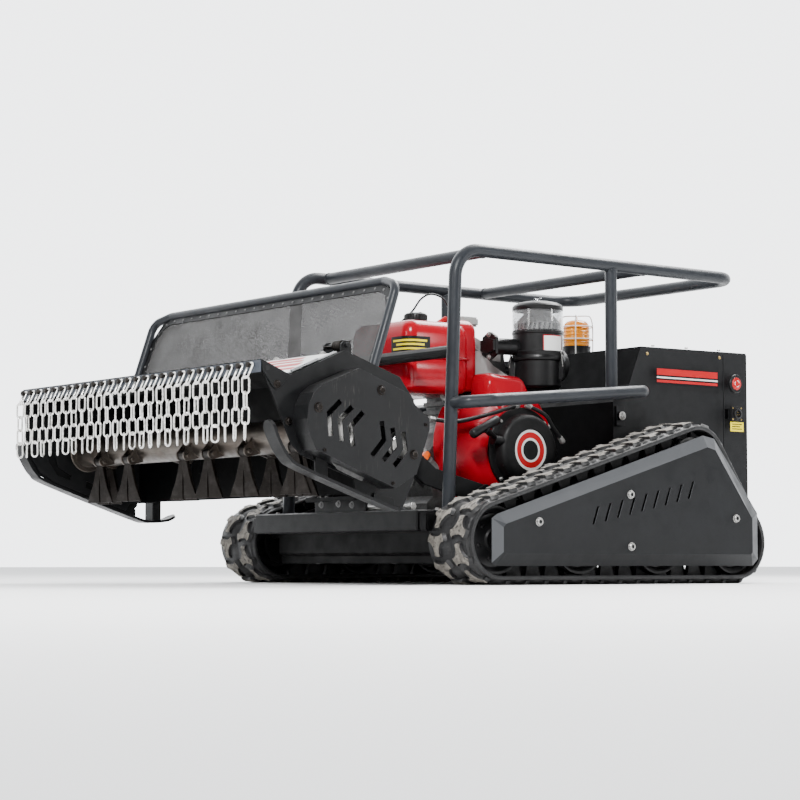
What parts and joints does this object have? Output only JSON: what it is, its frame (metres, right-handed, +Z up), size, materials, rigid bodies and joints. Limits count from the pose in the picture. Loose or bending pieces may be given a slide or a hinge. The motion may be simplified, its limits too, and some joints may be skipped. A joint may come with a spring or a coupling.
{
  "type": "tracked flail mower",
  "caption": "Remote-controlled flail mower on two rubber tracks, with a caged engine, rear control cabinet and a raised mowing deck behind a chain curtain.",
  "frame": {"origin": "on the ground under the middle of the machine's overall box", "axes": "+Z up, the machine faces -Y, +X is its left side"},
  "size_m": [1.432, 2.072, 0.9914],
  "materials": {
    "track_rubber": "matte moulded rubber, dusty on the lug tops",
    "black_steel": "satin black",
    "black_paint": "satin black powder coat",
    "tube_paint": "satin blue-black powder coat",
    "cabinet_paint": "fine-textured black",
    "red_paint": "gloss red",
    "signal_red": "gloss red",
    "black_plastic": "satin black",
    "amber_lens": "clear amber",
    "clear_bowl": "clear",
    "bare_steel": "worn bare steel",
    "dark_steel": "forged, browned",
    "galvanised_chain": "bright galvanised",
    "chrome": "polished",
    "aluminium": "satin",
    "cast_metal": "rough cast",
    "heat_shield": "plain",
    "guard_mesh": "fine black mesh"
  },
  "bodies": {
    "chassis": {"left_track_belt": "track_rubber", "left_track_frame": "black_steel", "left_track_cover": "black_paint", "left_side_rail": "tube_paint", "right_track_belt": "track_rubber", "right_track_frame": "black_steel", "right_track_cover": "black_paint", "right_side_rail": "tube_paint", "front_crossbeam": "black_paint", "engine_plate": "black_paint", "belly_plate": "black_paint", "cage_left_tube": "tube_paint", "cage_right_tube": "tube_paint", "cage_front_cross_tube": "tube_paint", "cage_middle_cross_tube": "tube_paint", "cage_lower_cross_tube": "tube_paint", "cabinet_body": "cabinet_paint", "battery": "black_plastic", "control_unit": "aluminium", "beacon_base": "black_plastic", "beacon_lens": "amber_lens", "engine_crankcase": "cast_metal", "cylinder_head": "cast_metal", "fan_shroud": "red_paint", "recoil_cover": "black_plastic", "fuel_tank": "red_paint", "air_cleaner": "black_plastic", "precleaner_bowl": "clear_bowl", "muffler": "heat_shield"},
    "left_drive_sprocket": {"left_drive_sprocket": "bare_steel"},
    "left_front_idler": {"left_front_idler": "black_steel"},
    "left_front_road_wheel": {"left_front_road_wheel": "black_steel"},
    "left_rear_road_wheel": {"left_rear_road_wheel": "black_steel"},
    "left_rear_idler": {"left_rear_idler": "black_steel"},
    "right_drive_sprocket": {"right_drive_sprocket": "bare_steel"},
    "right_front_idler": {"right_front_idler": "black_steel"},
    "right_front_road_wheel": {"right_front_road_wheel": "black_steel"},
    "right_rear_road_wheel": {"right_rear_road_wheel": "black_steel"},
    "right_rear_idler": {"right_rear_idler": "black_steel"},
    "lift_arms": {"lift_arms": "black_paint"},
    "deck": {"deck_housing": "black_paint", "deck_belt_guard": "black_paint", "deck_drive_belt": "track_rubber", "left_skid": "black_paint", "right_skid": "black_paint", "stone_guard_hoop": "tube_paint", "stone_guard_mesh": "guard_mesh"},
    "chain_curtain": {"chain_curtain": "galvanised_chain"},
    "rotor": {"rotor": "bare_steel"},
    "jackshaft": {"jackshaft": "bare_steel"},
    "flail_1": {"flail_1": "dark_steel"},
    "flail_2": {"flail_2": "dark_steel"},
    "flail_3": {"flail_3": "dark_steel"},
    "flail_4": {"flail_4": "dark_steel"},
    "lift_actuator_body": {"lift_actuator_body": "aluminium"},
    "lift_actuator_rod": {"lift_actuator_rod": "chrome"},
    "cabinet_door": {"cabinet_door": "cabinet_paint"},
    "emergency_stop_button": {"emergency_stop_button": "signal_red"},
    "starter_handle": {"starter_handle": "black_plastic"},
    "fuel_cap": {"fuel_cap": "black_plastic"}
  },
  "joints": [
    {"name": "left_sprocket_spin", "type": "hinge", "parent": "chassis", "child": "left_drive_sprocket", "pos_m": [0.536, 0.583, 0.362], "axis": [1, 0, 0], "continuous": true},
    {"name": "left_front_idler_spin", "type": "hinge", "parent": "chassis", "child": "left_front_idler", "pos_m": [0.536, -0.197, 0.125], "axis": [1, 0, 0], "continuous": true},
    {"name": "left_front_road_wheel_spin", "type": "hinge", "parent": "chassis", "child": "left_front_road_wheel", "pos_m": [0.536, 0.1183, 0.125], "axis": [1, 0, 0], "continuous": true},
    {"name": "left_rear_road_wheel_spin", "type": "hinge", "parent": "chassis", "child": "left_rear_road_wheel", "pos_m": [0.536, 0.4336, 0.125], "axis": [1, 0, 0], "continuous": true},
    {"name": "left_rear_idler_spin", "type": "hinge", "parent": "chassis", "child": "left_rear_idler", "pos_m": [0.536, 0.7489, 0.125], "axis": [1, 0, 0], "continuous": true},
    {"name": "right_sprocket_spin", "type": "hinge", "parent": "chassis", "child": "right_drive_sprocket", "pos_m": [-0.536, 0.583, 0.362], "axis": [1, 0, 0], "continuous": true},
    {"name": "right_front_idler_spin", "type": "hinge", "parent": "chassis", "child": "right_front_idler", "pos_m": [-0.536, -0.197, 0.125], "axis": [1, 0, 0], "continuous": true},
    {"name": "right_front_road_wheel_spin", "type": "hinge", "parent": "chassis", "child": "right_front_road_wheel", "pos_m": [-0.536, 0.1183, 0.125], "axis": [1, 0, 0], "continuous": true},
    {"name": "right_rear_road_wheel_spin", "type": "hinge", "parent": "chassis", "child": "right_rear_road_wheel", "pos_m": [-0.536, 0.4336, 0.125], "axis": [1, 0, 0], "continuous": true},
    {"name": "right_rear_idler_spin", "type": "hinge", "parent": "chassis", "child": "right_rear_idler", "pos_m": [-0.536, 0.7489, 0.125], "axis": [1, 0, 0], "continuous": true},
    {"name": "deck_lift", "type": "hinge", "parent": "chassis", "child": "lift_arms", "pos_m": [0, 0, 0.26], "axis": [1, 0, 0], "range_deg": [0, 18]},
    {"name": "deck_float", "type": "hinge", "parent": "lift_arms", "child": "deck", "pos_m": [0, -0.585, 0.375], "axis": [1, 0, 0], "range_deg": [-12, 0]},
    {"name": "curtain_swing", "type": "hinge", "parent": "deck", "child": "chain_curtain", "pos_m": [0, -1.03, 0.58], "axis": [1, 0, 0], "range_deg": [-70, 12]},
    {"name": "rotor_spin", "type": "hinge", "parent": "deck", "child": "rotor", "pos_m": [0, -0.8, 0.4], "axis": [1, 0, 0], "continuous": true},
    {"name": "jackshaft_spin", "type": "hinge", "parent": "deck", "child": "jackshaft", "pos_m": [0, -0.585, 0.375], "axis": [1, 0, 0], "continuous": true},
    {"name": "flail_1_swing", "type": "hinge", "parent": "rotor", "child": "flail_1", "pos_m": [-0.45, -0.855, 0.365], "axis": [1, 0, 0], "range_deg": [-60, 60]},
    {"name": "flail_2_swing", "type": "hinge", "parent": "rotor", "child": "flail_2", "pos_m": [-0.15, -0.745, 0.365], "axis": [1, 0, 0], "range_deg": [-60, 60]},
    {"name": "flail_3_swing", "type": "hinge", "parent": "rotor", "child": "flail_3", "pos_m": [0.15, -0.855, 0.365], "axis": [1, 0, 0], "range_deg": [-60, 60]},
    {"name": "flail_4_swing", "type": "hinge", "parent": "rotor", "child": "flail_4", "pos_m": [0.45, -0.745, 0.365], "axis": [1, 0, 0], "range_deg": [-60, 60]},
    {"name": "actuator_tilt", "type": "hinge", "parent": "chassis", "child": "lift_actuator_body", "pos_m": [0, -0.225, 0.64], "axis": [1, 0, 0], "range_deg": [0, 9]},
    {"name": "actuator_stroke", "type": "slide", "parent": "lift_actuator_body", "child": "lift_actuator_rod", "axis": [0, -0.6225, -0.7826], "range_m": [0, 0.13]},
    {"name": "door_hinge", "type": "hinge", "parent": "chassis", "child": "cabinet_door", "pos_m": [-0.396, 1.031, 0.47], "axis": [0, 0, 1], "range_deg": [0, 110]},
    {"name": "stop_press", "type": "slide", "parent": "chassis", "child": "emergency_stop_button", "axis": [-1, 0, 0], "range_m": [0, 0.0035], "stiffness_N_per_m": 1500},
    {"name": "starter_pull", "type": "slide", "parent": "chassis", "child": "starter_handle", "axis": [0, -0.76, 0.65], "range_m": [0, 0.2], "stiffness_N_per_m": 100},
    {"name": "fuel_cap_twist", "type": "hinge", "parent": "chassis", "child": "fuel_cap", "pos_m": [0.04, -0.04, 0.7989], "axis": [0, 0, 1], "range_deg": [0, 90]}
  ],
  "couplings": [
    {"joint": "left_front_idler_spin", "follows": "left_sprocket_spin", "ratio": 1.1088},
    {"joint": "left_front_road_wheel_spin", "follows": "left_sprocket_spin", "ratio": 1.1088},
    {"joint": "left_rear_road_wheel_spin", "follows": "left_sprocket_spin", "ratio": 1.1088},
    {"joint": "left_rear_idler_spin", "follows": "left_sprocket_spin", "ratio": 1.1088},
    {"joint": "right_front_idler_spin", "follows": "right_sprocket_spin", "ratio": 1.1088},
    {"joint": "right_front_road_wheel_spin", "follows": "right_sprocket_spin", "ratio": 1.1088},
    {"joint": "right_rear_road_wheel_spin", "follows": "right_sprocket_spin", "ratio": 1.1088},
    {"joint": "right_rear_idler_spin", "follows": "right_sprocket_spin", "ratio": 1.1088},
    {"joint": "jackshaft_spin", "follows": "rotor_spin", "ratio": 1.35},
    {"joint": "actuator_tilt", "follows": "deck_lift", "ratio": 0.459},
    {"joint": "actuator_stroke", "follows": "deck_lift", "m_per_rad": 0.4}
  ]
}
